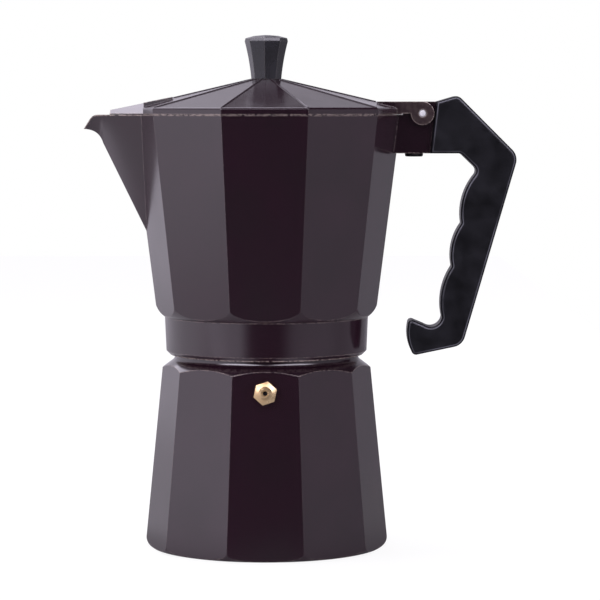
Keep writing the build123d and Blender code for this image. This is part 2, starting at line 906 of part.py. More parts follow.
with BuildPart() as knob_insert:
    with BuildSketch(Plane.XY.offset(apex_z)):
        Circle(knob_bush_r)
        Circle(knob_screw_r + bush_fit, mode=Mode.SUBTRACT)
    extrude(amount=knob_bush_l)
knob_insert.part.label = "knob_insert"
export_step(knob_insert.part, "parts/knob_insert.step")

with BuildPart() as knob_washer:
    with BuildSketch(Plane.XY.offset(ceiling_z)):
        Circle(knob_washer_r)
        Circle(knob_screw_r + screw_room, mode=Mode.SUBTRACT)
    extrude(amount=-knob_washer_t)
knob_washer.part.label = "knob_washer"
export_step(knob_washer.part, "parts/knob_washer.step")

knob_head_z = ceiling_z - knob_washer_t
with BuildPart() as knob_screw:
    with BuildSketch(Plane.XY.offset(knob_head_z)):
        Circle(knob_screw_r)
    extrude(amount=apex_z - knob_head_z + knob_screw_l)
    with BuildSketch(Plane.XY.offset(knob_head_z)):
        Circle(knob_head_r)
    extrude(amount=-knob_head_h)
    fillet(knob_screw.edges().group_by(Axis.Z)[0], radius=knob_head_h / 2)
knob_screw.part.label = "knob_screw"
export_step(knob_screw.part, "parts/knob_screw.step")
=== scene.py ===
"""Moka pot in dark lacquered aluminium: finishes, thread, beads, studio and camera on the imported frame."""

from __future__ import annotations

import json
import logging
import math
from dataclasses import dataclass, field
from enum import Enum
from typing import Any, Protocol

import bmesh
import bpy
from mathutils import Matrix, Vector

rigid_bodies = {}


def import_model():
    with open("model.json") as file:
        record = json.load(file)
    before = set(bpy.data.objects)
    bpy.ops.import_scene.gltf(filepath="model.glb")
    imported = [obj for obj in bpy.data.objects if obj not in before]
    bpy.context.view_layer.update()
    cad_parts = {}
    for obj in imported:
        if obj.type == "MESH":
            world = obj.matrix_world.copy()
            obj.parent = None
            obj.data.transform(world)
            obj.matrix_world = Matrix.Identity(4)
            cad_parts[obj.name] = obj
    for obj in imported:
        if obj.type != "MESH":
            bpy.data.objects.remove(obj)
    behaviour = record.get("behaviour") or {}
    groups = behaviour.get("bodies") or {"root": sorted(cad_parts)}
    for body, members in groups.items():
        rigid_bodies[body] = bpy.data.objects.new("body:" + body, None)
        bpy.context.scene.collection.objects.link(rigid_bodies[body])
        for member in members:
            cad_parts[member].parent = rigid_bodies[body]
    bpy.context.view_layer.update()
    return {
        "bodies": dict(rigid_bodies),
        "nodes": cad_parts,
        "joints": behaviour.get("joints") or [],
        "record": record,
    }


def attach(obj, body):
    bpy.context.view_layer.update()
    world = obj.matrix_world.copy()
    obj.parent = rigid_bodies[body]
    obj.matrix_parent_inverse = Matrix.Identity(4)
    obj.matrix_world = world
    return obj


Frame = dict[str, Any]
Socket = bpy.types.NodeSocket
Value = Socket | float
Colour = tuple[float, float, float, float]
Place = tuple[float, float, float]

LOG = logging.getLogger("moka_pot")
MM = 0.001
PHOTO_SIDE_PX = 600
WHITE: Colour = (1.0, 1.0, 1.0, 1.0)

# Constants of the sRGB curve
SRGB_TOE_END = 0.04045
SRGB_TOE_SLOPE = 12.92
SRGB_OFFSET = 0.055
SRGB_POWER = 2.4

# Most values of a noise pattern lie between these two
NOISE_LOW = 0.3
NOISE_HIGH = 0.7

# Blender's wave texture multiplies a place by this before it takes the sine
WAVE_FACTOR = 20.0

# Rays that the rounded edges and the gap mask send out at each point
NEARBY_SAMPLES = 6

# The Mix node repeats its socket names for each kind of value, so they are taken by number
MIX_NUMBER_A = 2
MIX_NUMBER_B = 3
MIX_NUMBER_RESULT = 0
MIX_COLOUR_A = 6
MIX_COLOUR_B = 7
MIX_COLOUR_RESULT = 2


class Slot(Enum):
    """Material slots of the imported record."""

    BODY = "body_coat"
    BARE = "bare_aluminium"
    BRASS = "valve_brass"
    PIN = "pin_steel"
    SCREW = "screw_steel"
    PLASTIC = "handle_plastic"
    RUBBER = "seal_rubber"
    FIBRE = "fibre"


class Body(Enum):
    """Moving bodies of the frame."""

    BOILER = "boiler"
    PLUNGER = "valve_plunger"
    FUNNEL = "funnel"
    SEAL = "seal"
    COLLECTOR = "collector"
    LID = "lid"


class Axis(Enum):
    """Axes of the part."""

    X = "X"
    Y = "Y"
    Z = "Z"


class Easing(Enum):
    """Ways to pass from one end of a ramp to the other, by Blender's names."""

    STRAIGHT = "LINEAR"
    SMOOTH = "SMOOTHSTEP"


class Ray(Enum):
    """Kinds of rays, by the names of Light Path's outputs."""

    CAMERA = "Is Camera Ray"
    GLOSSY = "Is Glossy Ray"
    TRANSMISSION = "Is Transmission Ray"


@dataclass(frozen=True)
class Pattern:
    """A noise pattern: the size of its patches and the octaves of finer noise in them."""

    size_mm: float
    detail: float


@dataclass(frozen=True)
class Ramp:
    """A change from low at start to high at end, level outside the two."""

    start: float
    end: float
    low: float = 0.0
    high: float = 1.0


def linear(colour: str) -> Colour:
    """Turn an sRGB hex colour into linear RGBA.

    Args:
        colour: Six hex digits.

    Returns:
        The linear colour with full alpha.
    """
    channels = [int(colour[i : i + 2], 16) / 255 for i in (0, 2, 4)]
    red, green, blue = [
        c / SRGB_TOE_SLOPE if c <= SRGB_TOE_END else ((c + SRGB_OFFSET) / (1 + SRGB_OFFSET)) ** SRGB_POWER
        for c in channels
    ]
    return (red, green, blue, 1.0)


def per_metre(size_mm: float) -> float:
    """Give the texture scale whose features are about this many millimetres."""
    return 1.0 / (size_mm * MM)


class Nodes:
    """A node tree that starts empty, with short ways to add what the materials and the world need."""

    def __init__(self, tree: bpy.types.NodeTree) -> None:
        """Take over a tree and empty it.

        Args:
            tree: Tree of a material or of the world.
        """
        self.tree = tree
        self.tree.nodes.clear()

    def feed(self, socket: Socket, value: Any) -> None:
        """Link a socket to the one that feeds it, or set its value.

        Args:
            socket: Input of a node.
            value: Socket that feeds it, or a plain value.
        """
        if isinstance(value, bpy.types.NodeSocket):
            self.tree.links.new(value, socket)
        else:
            socket.default_value = value

    def add(self, kind: str, inputs: dict[str | int, Any] | None = None, **settings: Any) -> bpy.types.Node:
        """Add a node with its settings, values and links.

        Args:
            kind: Blender's type name of the node.
            inputs: Input names or numbers, each with a value or with the socket that feeds it.
            **settings: Properties of the node itself.

        Returns:
            The new node.
        """
        node = self.tree.nodes.new(kind)
        for name, value in settings.items():
            setattr(node, name, value)
        for key, value in (inputs or {}).items():
            self.feed(node.inputs[key], value)
        return node

    def math(self, operation: str, first: Value, second: Value = 0.0) -> Socket:
        """Add a math node by the name of its operation and give its result."""
        return self.add("ShaderNodeMath", {0: first, 1: second}, operation=operation).outputs[0]

    def product(self, first: Value, *others: Value) -> Socket:
        """Multiply values.

        Args:
            first: A number or its socket.
            *others: More of them, at least one.

        Returns:
            The socket with the product.
        """
        result = first
        for other in others:
            result = self.math("MULTIPLY", result, other)
        return result

    def ramp(self, value: Socket, ramp: Ramp, easing: Easing = Easing.STRAIGHT) -> Socket:
        """Map a value through a ramp.

        Args:
            value: Socket with the value.
            ramp: Where the ramp starts and ends, and what it gives there.
            easing: How it passes from one end to the other.

        Returns:
            The socket with the mapped value.
        """
        limits = {"From Min": ramp.start, "From Max": ramp.end, "To Min": ramp.low, "To Max": ramp.high}
        ranged = self.add("ShaderNodeMapRange", {"Value": value, **limits}, interpolation_type=easing.value)
        return ranged.outputs["Result"]

    def spread(self, noise: Socket, low: float, high: float) -> Socket:
        """Stretch a noise pattern so that it runs from low to high, and give the socket."""
        return self.ramp(noise, Ramp(NOISE_LOW, NOISE_HIGH, low, high))

    def mix(self, share: Value, first: Value, second: Value) -> Socket:
        """Mix two numbers by a share and give the socket."""
        mix = self.add("ShaderNodeMix", {"Factor": share, MIX_NUMBER_A: first, MIX_NUMBER_B: second})
        return mix.outputs[MIX_NUMBER_RESULT]

    def blend(self, share: Value, first: Socket | Colour, second: Socket | Colour) -> Socket:
        """Mix two colours by a share and give the socket."""
        inputs = {"Factor": share, MIX_COLOUR_A: first, MIX_COLOUR_B: second}
        return self.add("ShaderNodeMix", inputs, data_type="RGBA").outputs[MIX_COLOUR_RESULT]

    def rays(self, first: Ray, *others: Ray) -> Socket:
        """Tell some kinds of rays from the rest.

        Args:
            first: A kind of ray.
            *others: More kinds.

        Returns:
            A socket that is 1 for these kinds.
        """
        path = self.add("ShaderNodeLightPath").outputs
        share = path[first.value]
        for ray in others:
            share = self.math("MAXIMUM", share, path[ray.value])
        return share


class Canvas(Nodes):
    """A new material's tree, with its shader and the coordinates of the resting object."""

    def __init__(self, name: str) -> None:
        """Start a material.

        Args:
            name: Name of the material.
        """
        self.material = bpy.data.materials.new(name)
        self.material.use_nodes = True
        super().__init__(self.material.node_tree)
        self.shader = self.add("ShaderNodeBsdfPrincipled")
        self.add("ShaderNodeOutputMaterial", {"Surface": self.shader.outputs["BSDF"]})
        self.place = self.add("ShaderNodeTexCoord").outputs["Object"]

    def noise(self, pattern: Pattern) -> Socket:
        """Add a noise pattern and give the socket with its value."""
        inputs = {"Vector": self.place, "Scale": per_metre(pattern.size_mm), "Detail": pattern.detail}
        return self.add("ShaderNodeTexNoise", inputs).outputs["Fac"]

    def along(self, axis: Axis) -> Socket:
        """Give the place along an axis of the part, in metres."""
        return self.add("ShaderNodeSeparateXYZ", {0: self.place}).outputs[axis.value]

    def bump(self, height: Socket, depth_mm: float, under: Socket | None = None) -> Socket:
        """Add relief of a depth.

        Args:
            height: Socket with the height from 0 to 1.
            depth_mm: Depth of the relief.
            under: Normal of coarser relief below this one.

        Returns:
            The socket with the normal.
        """
        inputs = {"Height": height, "Distance": depth_mm * MM, "Strength": 1.0}
        if under is not None:
            inputs["Normal"] = under
        return self.add("ShaderNodeBump", inputs).outputs["Normal"]

    def rounded(self, radius_mm: float) -> Socket:
        """Give the normal of edges that are rounded by a radius."""
        bevel = self.add("ShaderNodeBevel", {"Radius": radius_mm * MM}, samples=NEARBY_SAMPLES)
        return bevel.outputs["Normal"]

    def edges(self, rounded: Socket, turn: Ramp) -> Socket:
        """Add a mask that is 1 along edges.

        Args:
            rounded: Normal of the rounded edges.
            turn: Turns of the normal, as one less the cosine, where the mask begins and is full.

        Returns:
            The socket with the mask.
        """
        plain = self.add("ShaderNodeNewGeometry").outputs["Normal"]
        cosine = self.add("ShaderNodeVectorMath", {0: rounded, 1: plain}, operation="DOT_PRODUCT")
        return self.ramp(cosine.outputs["Value"], Ramp(1.0 - turn.start, 1.0 - turn.end))

    def open_air(self, reach_mm: float, share: Ramp) -> Socket:
        """Add a mask that is 1 where nothing stands close by, so not in corners and gaps.

        Args:
            reach_mm: How far around the surface it looks.
            share: Open shares of the view where the mask begins and is full.

        Returns:
            The socket with the mask.
        """
        inputs = {"Distance": reach_mm * MM}
        clear = self.add("ShaderNodeAmbientOcclusion", inputs, samples=NEARBY_SAMPLES).outputs["AO"]
        return self.ramp(clear, share)

    def set(self, **values: Any) -> None:
        """Set shader inputs by name, with underscores for spaces.

        Args:
            **values: Values or sockets.
        """
        for name, value in values.items():
            self.feed(self.shader.inputs[name.replace("_", " ")], value)


class Finish(Protocol):
    """What every finish can do."""

    def material(self) -> bpy.types.Material:
        """Build the material."""


@dataclass(frozen=True)
class Rub:
    """Where use rubs the lacquer of a casting thin, along one axis of the part.

    Attributes:
        axis: Axis that the place is measured along.
        start_mm: Place where the rubbing begins.
        full_mm: Place where it is strongest.
        amount: Share of bare metal where it is strongest.
        patches: Patches that break it up.
        patch_range: What part of the patches' noise leaves how much of the amount.
    """

    axis: Axis
    start_mm: float
    full_mm: float
    amount: float
    patches: Pattern
    patch_range: Ramp

    def mask(self, canvas: Canvas) -> Socket:
        """Make the mask of the place that use rubs thin.

        Args:
            canvas: The material being built.

        Returns:
            The socket with the share of bare metal.
        """
        reach = Ramp(self.start_mm * MM, self.full_mm * MM, high=self.amount)
        near = canvas.ramp(canvas.along(self.axis), reach)
        return canvas.product(near, canvas.ramp(canvas.noise(self.patches), self.patch_range))


@dataclass(frozen=True)
class LacqueredAluminium:
    """Die-cast aluminium under a dark baked lacquer: a glossy dark film over smooth castings."""

    name: str = "lacquered_cast_aluminium"
    colour: str = "2b1823"
    shade: str = "24141d"
    bare: str = "d6c4ba"
    bare_metallic: float = 0.5
    ior: float = 1.75
    gloss_low: float = 0.13
    gloss_high: float = 0.19
    clouds: Pattern = Pattern(28.0, 4.0)
    peel: Pattern = Pattern(1.6, 1.0)
    peel_depth_mm: float = 0.0025
    edge_mm: float = 0.4
    wear: float = 1.0
    wear_mm: float = 1.5
    wear_turn: Ramp = Ramp(0.1, 0.17)
    wear_patches: Pattern = Pattern(1.2, 5.0)
    wear_patch_range: Ramp = Ramp(0.4, 0.56)
    air_mm: float = 3.0
    air_share: Ramp = Ramp(0.6, 0.9)
    rub: Rub | None = None

    def worn(self, canvas: Canvas) -> Socket:
        """Make the mask of the metal that shows: specks on open edges, and the place that use rubs thin.

        Args:
            canvas: The material being built.

        Returns:
            The socket with the share of bare metal.
        """
        edges = canvas.edges(canvas.rounded(self.wear_mm), self.wear_turn)
        patches = canvas.ramp(canvas.noise(self.wear_patches), self.wear_patch_range)
        exposed = canvas.product(canvas.open_air(self.air_mm, self.air_share), self.wear)
        specks = canvas.product(edges, patches, exposed)
        if self.rub is None:
            return specks
        return canvas.math("MAXIMUM", specks, self.rub.mask(canvas))

    def material(self) -> bpy.types.Material:
        """Build the material: film with a faint orange peel, worn thin along the edges.

        Returns:
            The new material.
        """
        canvas = Canvas(self.name)
        clouds = canvas.noise(self.clouds)
        film = canvas.blend(canvas.spread(clouds, 0.0, 1.0), linear(self.colour), linear(self.shade))
        worn = self.worn(canvas)
        canvas.set(
            Base_Color=canvas.blend(worn, film, linear(self.bare)),
            Metallic=canvas.product(worn, self.bare_metallic),
            Roughness=canvas.spread(clouds, self.gloss_low, self.gloss_high),
            IOR=self.ior,
            Normal=canvas.bump(canvas.noise(self.peel), self.peel_depth_mm, canvas.rounded(self.edge_mm)),
        )
        return canvas.material


@dataclass(frozen=True)
class TurnedMetal:
    """A metal left bare from the lathe or the press: fine rings catch the light in bands.

    The rings' wave turns by one radian over ring_radian_mm, and axis_mm is a point on their axis.
    """

    name: str
    colour: str
    stain: str
    roughness: float
    ring_radian_mm: float = 0.45
    ring_depth_mm: float = 0.004
    ring_waver: float = 0.6
    ring_detail: float = 2.0
    axis: Axis = Axis.Z
    axis_mm: Place = (0.0, 0.0, 0.0)
    metallic: float = 1.0
    stains: Pattern = Pattern(9.0, 4.0)
    stain_roughness: float = 0.12

    def rings(self, canvas: Canvas) -> Socket:
        """Lay tool rings round the piece's own axis.

        Args:
            canvas: The material being built.

        Returns:
            The socket with their height.
        """
        to_axis = [-MM * part for part in self.axis_mm]
        centred = canvas.add("ShaderNodeMapping", {"Vector": canvas.place, "Location": to_axis})
        inputs = {
            "Vector": centred.outputs["Vector"],
            "Scale": per_metre(self.ring_radian_mm) / WAVE_FACTOR,
            "Distortion": self.ring_waver,
            "Detail": self.ring_detail,
        }
        wave = canvas.add("ShaderNodeTexWave", inputs, wave_type="RINGS", rings_direction=self.axis.value)
        return wave.outputs["Fac"]

    def material(self) -> bpy.types.Material:
        """Build the material: tool rings and a light stain.

        Returns:
            The new material.
        """
        canvas = Canvas(self.name)
        stains = canvas.noise(self.stains)
        tint = canvas.blend(canvas.spread(stains, 0.0, 1.0), linear(self.colour), linear(self.stain))
        canvas.set(
            Base_Color=tint,
            Metallic=self.metallic,
            Roughness=canvas.spread(stains, self.roughness, self.roughness + self.stain_roughness),
            Normal=canvas.bump(self.rings(canvas), self.ring_depth_mm),
        )
        return canvas.material


@dataclass(frozen=True)
class MouldedPlastic:
    """Black phenolic moulding: satin skin with soft flow clouds, a fine grain and paler edges that are
    painted highlights.
    """

    name: str = "moulded_black_phenolic"
    colour: str = "1b1b20"
    cloud: str = "2a2a31"
    # Pale grey of the painted highlight along the edges
    edge_highlight_colour: str = "84807e"
    roughness: float = 0.26
    smoother: float = 0.05
    rougher: float = 0.07
    ior: float = 1.6
    shine_level: float = 0.5
    clouds: Pattern = Pattern(9.0, 5.0)
    grain: Pattern = Pattern(0.5, 3.0)
    grain_depth_mm: float = 0.008
    edge_mm: float = 0.6
    edge_turn: Ramp = Ramp(0.02, 0.08)

    def edge_highlights(self, canvas: Canvas, rounded: Socket) -> Socket:
        """Give the mask of the edges that get a painted highlight."""
        return canvas.edges(rounded, self.edge_turn)

    def shine(self, canvas: Canvas) -> Value:
        """Give the strength of the shine, the same all over."""
        return self.shine_level

    def material(self) -> bpy.types.Material:
        """Build the material: grain, soft flow clouds and edges with a painted highlight.

        Returns:
            The new material.
        """
        canvas = Canvas(self.name)
        clouds = canvas.noise(self.clouds)
        rounded = canvas.rounded(self.edge_mm)
        skin = canvas.blend(canvas.spread(clouds, 0.0, 1.0), linear(self.colour), linear(self.cloud))
        canvas.set(
            # Paler colour along the edges: a painted highlight
            Base_Color=canvas.blend(self.edge_highlights(canvas, rounded), skin, linear(self.edge_highlight_colour)),
            Roughness=canvas.spread(clouds, self.roughness - self.smoother, self.roughness + self.rougher),
            IOR=self.ior,
            Specular_IOR_Level=self.shine(canvas),
            Normal=canvas.bump(canvas.noise(self.grain), self.grain_depth_mm, rounded),
        )
        return canvas.material


@dataclass(frozen=True)
class HandlePlastic(MouldedPlastic):
    """The same moulding on the handle, with a painted highlight line along the round where its flat sides
    end.
    """

    name: str = "moulded_black_phenolic_handle"
    colour: str = "0f0f12"
    cloud: str = "1b1b20"
    # Pale grey of the painted highlight line along the rounds
    edge_highlight_colour: str = "74747e"
    roughness: float = 0.36
    ior: float = 1.5
    edge_mm: float = 0.9
    grain_depth_mm: float = 0.02
    # Where the painted highlight line starts, peaks and ends, by how squarely the surface faces the flat
    # sides
    line_start: float = 0.82
    line_heart: float = 0.93
    line_end: float = 0.99
    # Patches that break up the painted highlight line
    highlight_patches: Pattern = Pattern(18.0, 1.0)
    highlight_patch_range: Ramp = Ramp(0.4, 0.6, low=0.25)
    side_end: float = 0.5
    side_shine: float = 0.08
    face_shine: float = 0.28

    def facing(self, canvas: Canvas) -> Socket:
        """Tell the flat sides from the round and the narrow sides.

        Args:
            canvas: The material being built.

        Returns:
            A socket that is 1 on the flat sides and falls to 0 across the round.
        """
        way = canvas.add("ShaderNodeTexCoord").outputs["Normal"]
        across = canvas.add("ShaderNodeSeparateXYZ", {0: way}).outputs[Axis.Y.value]
        return canvas.math("ABSOLUTE", across)

    def edge_highlights(self, canvas: Canvas, rounded: Socket) -> Socket:
        """Make the mask of a thin painted highlight line along the round beside the flat sides.

        Args:
            canvas: The material being built.
            rounded: Normal of the rounded edges, which the line doesn't need.

        Returns:
            The socket with the mask.
        """
        facing = self.facing(canvas)
        rise = canvas.ramp(facing, Ramp(self.line_start, self.line_heart))
        fall = canvas.ramp(facing, Ramp(self.line_heart, self.line_end, 1.0, 0.0))
        highlight_patches = canvas.ramp(canvas.noise(self.highlight_patches), self.highlight_patch_range)
        return canvas.product(rise, fall, highlight_patches)

    def shine(self, canvas: Canvas) -> Socket:
        """Give the strength of the shine, which is low on the narrow sides, left matt by the mould."""
        sides = Ramp(self.side_end, self.line_start, self.side_shine, self.face_shine)
        return canvas.ramp(self.facing(canvas), sides)


@dataclass(frozen=True)
class SoftSheet:
    """Rubber or pressed fibre: dull, with a mottled tone."""

    name: str
    colour: str
    mottle: str
    roughness: float
    rougher: float = 0.15
    mottles: Pattern = Pattern(2.5, 4.0)
    dull_patches: Pattern = Pattern(6.0, 2.0)
    grain: Pattern = Pattern(0.4, 3.0)
    grain_depth_mm: float = 0.03

    def material(self) -> bpy.types.Material:
        """Build the material: mottled tone and fine grain.

        Returns:
            The new material.
        """
        canvas = Canvas(self.name)
        tone = canvas.spread(canvas.noise(self.mottles), 0.0, 1.0)
        dullness = canvas.noise(self.dull_patches)
        canvas.set(
            Base_Color=canvas.blend(tone, linear(self.colour), linear(self.mottle)),
            Roughness=canvas.spread(dullness, self.roughness, self.roughness + self.rougher),
            Normal=canvas.bump(canvas.noise(self.grain), self.grain_depth_mm),
        )
        return canvas.material


@dataclass
class Finishes:
    """The finishes of the pot, one for each slot, each built once.

    The two places are points on the axes of the valve and of the hinge pin, in millimetres.
    """

    valve_axis: Place = (0.0, 0.0, 79.5)
    pin_axis: Place = (75.7, 0.0, 211.4)
    by_slot: dict[Slot, bpy.types.Material] = field(init=False)

    def __post_init__(self) -> None:
        """Build every material."""
        brass_rings = {"ring_radian_mm": 0.3, "axis": Axis.Y, "axis_mm": self.valve_axis}
        pin_rings = {"ring_radian_mm": 0.25, "axis": Axis.Y, "axis_mm": self.pin_axis}
        finishes: dict[Slot, Finish] = {
            # Baked lacquer on a smooth casting: nearly black with a plum tint, and soft clear reflections
            Slot.BODY: LacqueredAluminium(),
            # Sheet spun over a form and left bare: pale grey, with bands of light round the axis
            Slot.BARE: TurnedMetal("spun_bare_aluminium", "c9c8c8", "a9a8ab", 0.3),
            # Brass from the lathe: warm and bright, with fine rings on the end face
            Slot.BRASS: TurnedMetal("turned_brass", "ecd0a4", "c4a274", 0.24, metallic=0.75, **brass_rings),
            # Pin ends spread by a hammer, whose small dents scatter the light; the almost white colour is a
            # painted highlight on the bright ends
            Slot.PIN: TurnedMetal("peened_steel_pin_painted_highlight", "f4f4f6", "e2e2e6", 0.5, metallic=0.3, **pin_rings),
            # Steel blackened in a hot bath: dark, with a dull sheen
            Slot.SCREW: TurnedMetal("blackened_steel", "3a393b", "262527", 0.38, ring_radian_mm=0.3),
            # Phenolic from a polished mould: black with a satin shine, and paler edges that are painted
            # highlights
            Slot.PLASTIC: MouldedPlastic(),
            # Moulded silicone: milky and dull
            Slot.RUBBER: SoftSheet("white_silicone_rubber", "d9d4c8", "c9c2b2", 0.55),
            # Pressed fibre: dull brick red with a mottled tone
            Slot.FIBRE: SoftSheet("red_vulcan_fibre", "7c3b2b", "5e2a20", 0.7),
        }
        self.by_slot = {slot: finish.material() for slot, finish in finishes.items()}


def put_on(piece: bpy.types.Object, material: bpy.types.Material) -> None:
    """Give a piece one material all over."""
    piece.data.materials.clear()
    piece.data.materials.append(material)


def place_in_scene(name: str, data: bpy.types.ID) -> bpy.types.Object:
    """Make an object of a mesh, a light or a camera, and link it into the scene.

    Args:
        name: Name of the object.
        data: What the object shows.

    Returns:
        The new object.
    """
    made = bpy.data.objects.new(name, data)
    bpy.context.scene.collection.objects.link(made)
    return made


def swept_piece(name: str, sweeps: list[list[list[Vector]]]) -> bpy.types.Object:
    """Make one piece of closed ridges, each swept through its sections.

    Args:
        name: Name of the piece.
        sweeps: The sections of each ridge in order, each section a ring of corners in metres.

    Returns:
        The piece as a mesh object.
    """
    shape = bmesh.new()
    for sections in sweeps:
        rings = [[shape.verts.new(corner) for corner in section] for section in sections]
        for before, after in zip(rings, rings[1:]):
            for i in range(len(before)):
                shape.faces.new((before[i - 1], after[i - 1], after[i], before[i]))
        shape.faces.new(list(reversed(rings[0])))
        shape.faces.new(rings[-1])
    bmesh.ops.recalc_face_normals(shape, faces=shape.faces)
    mesh = bpy.data.meshes.new(name)
    shape.to_mesh(mesh)
    shape.free()
    return place_in_scene(name, mesh)


@dataclass
class NeckThread:
    """Thread on the boiler's neck: one helical ridge with run-outs, sizes in millimetres."""

    neck_r: float = 44.8
    crest: float = 0.95
    sink: float = 0.3
    pitch: float = 3.0
    low_z: float = 95.4
    turns: float = 2.9
    root_half: float = 1.05
    crest_half: float = 0.35
    run_out_turns: float = 0.18
    steps_per_turn: int = 96

    def section(self, turn: float) -> list[Vector]:
        """Give the corners of the ridge's section.

        Args:
            turn: Turns from the lower end.

        Returns:
            Corners from the lower root over the crest to the upper root, in metres.
        """
        share = min(1.0, turn / self.run_out_turns, (self.turns - turn) / self.run_out_turns)
        root_r = self.neck_r - self.sink
        crest_r = self.neck_r + self.crest * share - self.sink * (1 - share)
        middle = self.low_z + self.pitch * turn
        shape = [
            (root_r, middle - self.root_half),
            (crest_r, middle - self.crest_half),
            (crest_r, middle + self.crest_half),
            (root_r, middle + self.root_half),
        ]
        angle = 2 * math.pi * turn
        return [Vector((r * math.cos(angle), r * math.sin(angle), z)) * MM for r, z in shape]

    def build(self) -> bpy.types.Object:
        """Sweep the ridge's section round the neck and give the piece."""
        steps = range(int(self.turns * self.steps_per_turn) + 1)
        return swept_piece("neck_thread", [[self.section(step / self.steps_per_turn) for step in steps]])


@dataclass
class RidgeBeads:
    """Fine raised lines along the ridges of the lid's roof, sizes in millimetres."""

    ridges: int = 10
    outer_r: float = 64.9
    inner_r: float = 7.4
    eave_r: float = 65.9
    eave_z: float = 214.0
    slope: float = 0.236
    half: float = 0.4
    crown_half: float = 0.2
    rise: float = 0.42
    shoulder_share: float = 0.8
    sink: float = 0.3
    deck_r: float = 45.0
    arm_r: float = 53.4

    def section(self, r: float, angle: float) -> list[Vector]:
        """Give the corners of one bead's section.

        Args:
            r: Distance from the lid's axis.
            angle: Direction of the ridge, in radians.

        Returns:
            Corners from one side over the crest to the other, in metres.
        """
        ridge_z = self.eave_z + self.slope * (self.eave_r - r)
        shoulder = self.rise * self.shoulder_share
        shape = [
            (-self.half, -self.sink),
            (-self.half, shoulder),
            (-self.crown_half, self.rise),
            (self.crown_half, self.rise),
            (self.half, shoulder),
            (self.half, -self.sink),
        ]
        x, y = math.cos(angle), math.sin(angle)
        return [Vector((r * x - side * y, r * y + side * x, ridge_z + up)) * MM for side, up in shape]

    def build(self) -> bpy.types.Object:
        """Lay a bead along every ridge, clear of the deck over the spout and of the hinge arm.

        Returns:
            The beads as one mesh object.
        """
        cut_short = {0: self.arm_r, self.ridges // 2: self.deck_r}
        sweeps = []
        for ridge in range(self.ridges):
            angle = 2 * math.pi * ridge / self.ridges
            outer_r = cut_short.get(ridge, self.outer_r)
            sweeps.append([self.section(r, angle) for r in (outer_r, self.inner_r)])
        return swept_piece("lid_ridge_beads", sweeps)


@dataclass
class SubAssembly:
    """Pieces of one body, each with the slot of its finish, and some with a finish of their own."""

    body: Body
    slots: dict[str, Slot]
    own: dict[str, Finish] = field(default_factory=dict)

    def dress(self, frame: Frame, finishes: Finishes) -> None:
        """Give every carried-over piece its finish.

        Args:
            frame: The loaded frame.
            finishes: The pot's finishes.
        """
        for name, slot in self.slots.items():
            material = self.own[name].material() if name in self.own else finishes.by_slot[slot]
            put_on(frame["nodes"][name], material)
            LOG.info("%s: %s in %s", self.body.value, name, slot.value)

    def add_piece(self, piece: bpy.types.Object, slot: Slot, material: bpy.types.Material) -> None:
        """Dress a new piece and let it ride on this body.

        Args:
            piece: The new mesh object.
            slot: Slot of its finish; not used.
            material: Its finish.
        """
        put_on(piece, material)
        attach(piece, self.body.value)
        LOG.info("%s: added %s", self.body.value, piece.name)

    def build(self, frame: Frame, finishes: Finishes) -> None:
        """Dress the pieces, where nothing is added to them."""
        self.dress(frame, finishes)


class Boiler(SubAssembly):
    """Lower chamber with its thread and the fixed part of the safety valve."""

    def __init__(self) -> None:
        """Name the boiler's pieces."""
        slots = {
            "boiler": Slot.BODY,
            "valve_body": Slot.BRASS,
            "valve_washer": Slot.FIBRE,
            "valve_seat": Slot.BRASS,
        }
        super().__init__(Body.BOILER, slots)
        self.thread = NeckThread()

    def build(self, frame: Frame, finishes: Finishes) -> None:
        """Dress the boiler and lay its thread."""
        self.dress(frame, finishes)
        self.add_piece(self.thread.build(), Slot.BODY, finishes.by_slot[Slot.BODY])


class Valve(SubAssembly):
    """Moving part of the safety valve, whose plunger is coloured almost black as painted shade in the
    nozzle's hole.
    """

    def __init__(self) -> None:
        """Name the valve's pieces."""
        # Steel coloured almost black with a soft sheen: painted shade, so that the nozzle's hole round the
        # plunger's tip looks dark
        painted_shade_steel = TurnedMetal("steel_painted_shade", "2a292b", "1c1b1d", 0.4, ring_radian_mm=0.3)
        slots = {"valve_plunger": Slot.PIN, "valve_spring": Slot.PIN}
        super().__init__(Body.PLUNGER, slots, {"valve_plunger": painted_shade_steel})


class Funnel(SubAssembly):
    """Basket for the coffee, with its strainer."""

    def __init__(self) -> None:
        """Name the funnel's pieces."""
        super().__init__(Body.FUNNEL, {"funnel": Slot.BARE, "funnel_strainer": Slot.BARE})


class Seal(SubAssembly):
    """Gasket and filter plate under the upper chamber."""

    def __init__(self) -> None:
        """Name the seal's pieces."""
        super().__init__(Body.SEAL, {"gasket": Slot.RUBBER, "filter_plate": Slot.BARE})


class Collector(SubAssembly):
    """Upper chamber with a worn lip, and its handle, whose moulding has a painted highlight line along its
    rounds.
    """

    def __init__(self) -> None:
        """Name the collector's pieces."""
        slots = {
            "collector": Slot.BODY,
            "riser_column": Slot.BARE,
            "hinge_pin": Slot.PIN,
            "handle": Slot.PLASTIC,
            "handle_insert": Slot.BRASS,
            "handle_screw": Slot.SCREW,
        }
        # The lip under the skirt is the lowest edge and gets knocked: a line of pale specks
        worn_lip = Rub(
            axis=Axis.Z,
            start_mm=94.9,
            full_mm=94.4,
            amount=0.9,
            patches=Pattern(1.0, 6.0),
            patch_range=Ramp(0.42, 0.6),
        )
        lacquer = LacqueredAluminium("lacquered_cast_collector", rub=worn_lip)
        super().__init__(Body.COLLECTOR, slots, {"collector": lacquer, "handle": HandlePlastic()})


